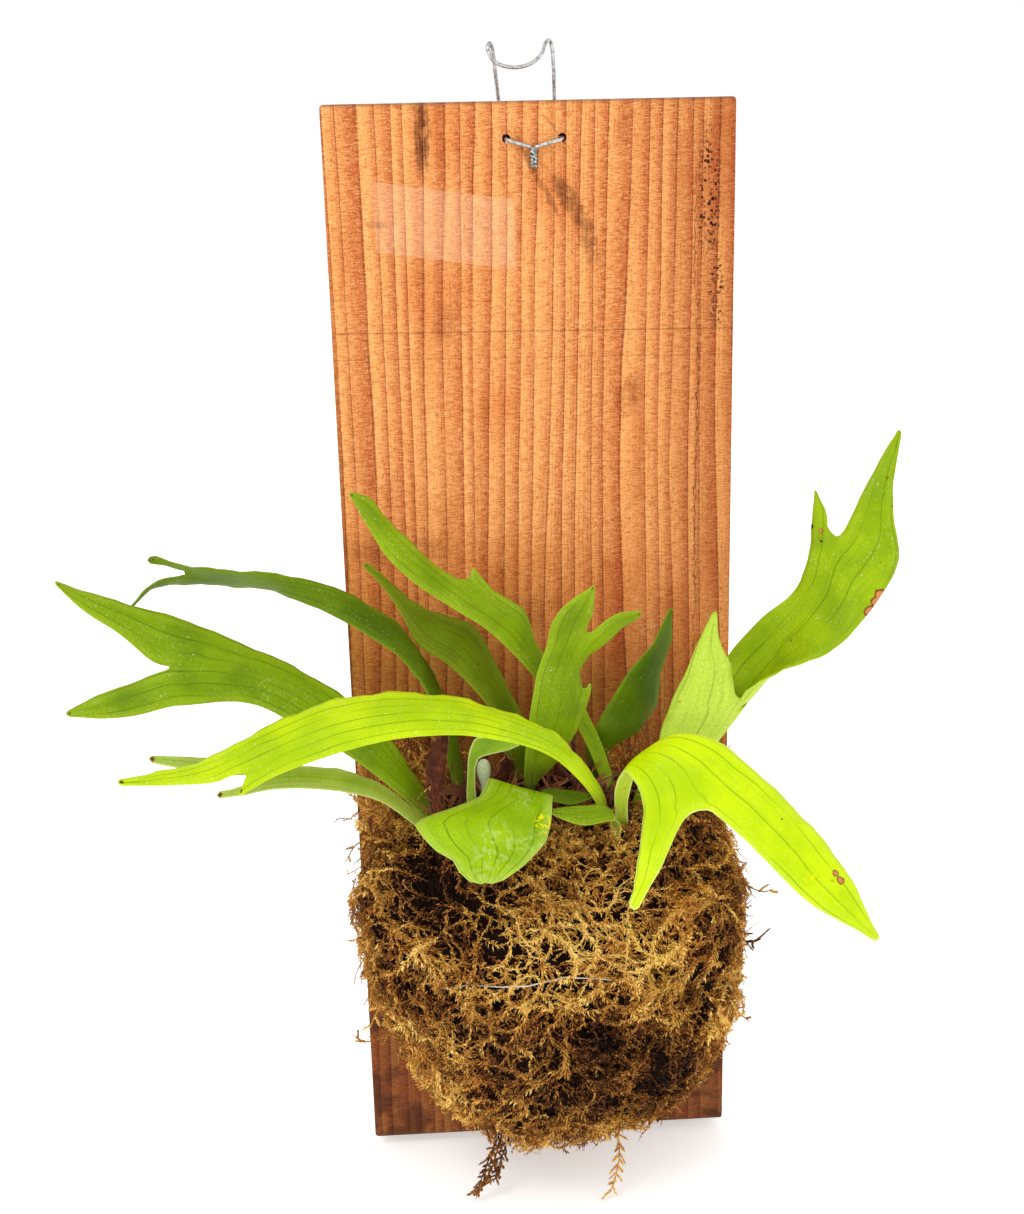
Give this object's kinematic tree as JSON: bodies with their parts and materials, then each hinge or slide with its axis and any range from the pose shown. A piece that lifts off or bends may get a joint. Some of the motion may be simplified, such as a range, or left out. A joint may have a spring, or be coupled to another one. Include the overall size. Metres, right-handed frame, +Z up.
{
  "type": "mounted staghorn fern",
  "caption": "Staghorn fern in a tied moss wrap on a rough-sawn wooden board with a wire hanging loop.",
  "frame": {"origin": "centre of the back of the board, on the plane of the wall", "axes": "+Z up along the board, +Y into the wall, +X to the right seen from the front"},
  "size_m": [0.2773, 0.127, 0.4151],
  "materials": {
    "board_wood": "rough-sawn redwood, unfinished",
    "zinc_wire": "galvanised wire",
    "nail_steel": "galvanised, slightly dull",
    "root_fibre": "matted roots and bark",
    "moss": "dried feathery moss",
    "clear_line": "clear nylon",
    "frond_green": "living leaf, satin",
    "dry_husk": "dry papery shield frond",
    "bud_felt": "downy"
  },
  "bodies": {
    "root": {"board": "board_wood", "hanger_wire": "zinc_wire", "nail_1": "nail_steel", "nail_2": "nail_steel", "nail_3": "nail_steel", "nail_4": "nail_steel", "nail_5": "nail_steel", "nail_6": "nail_steel", "root_ball": "root_fibre", "moss": "moss", "tie_line": "clear_line", "frond_left_long_arch": "frond_green", "frond_left_forked": "frond_green", "frond_left_edge_on": "frond_green", "frond_left_low": "frond_green", "frond_upper_left": "frond_green", "frond_centre_forked": "frond_green", "frond_left_olive": "frond_green", "frond_right_dark": "frond_green", "frond_right_cupped": "frond_green", "frond_right_drooping": "frond_green", "frond_front_pad": "frond_green", "frond_front_small": "frond_green", "frond_centre_small": "frond_green", "frond_young_curled": "frond_green", "husk_left": "dry_husk", "husk_centre": "dry_husk", "husk_right": "dry_husk", "young_bud": "bud_felt"}
  },
  "joints": []
}
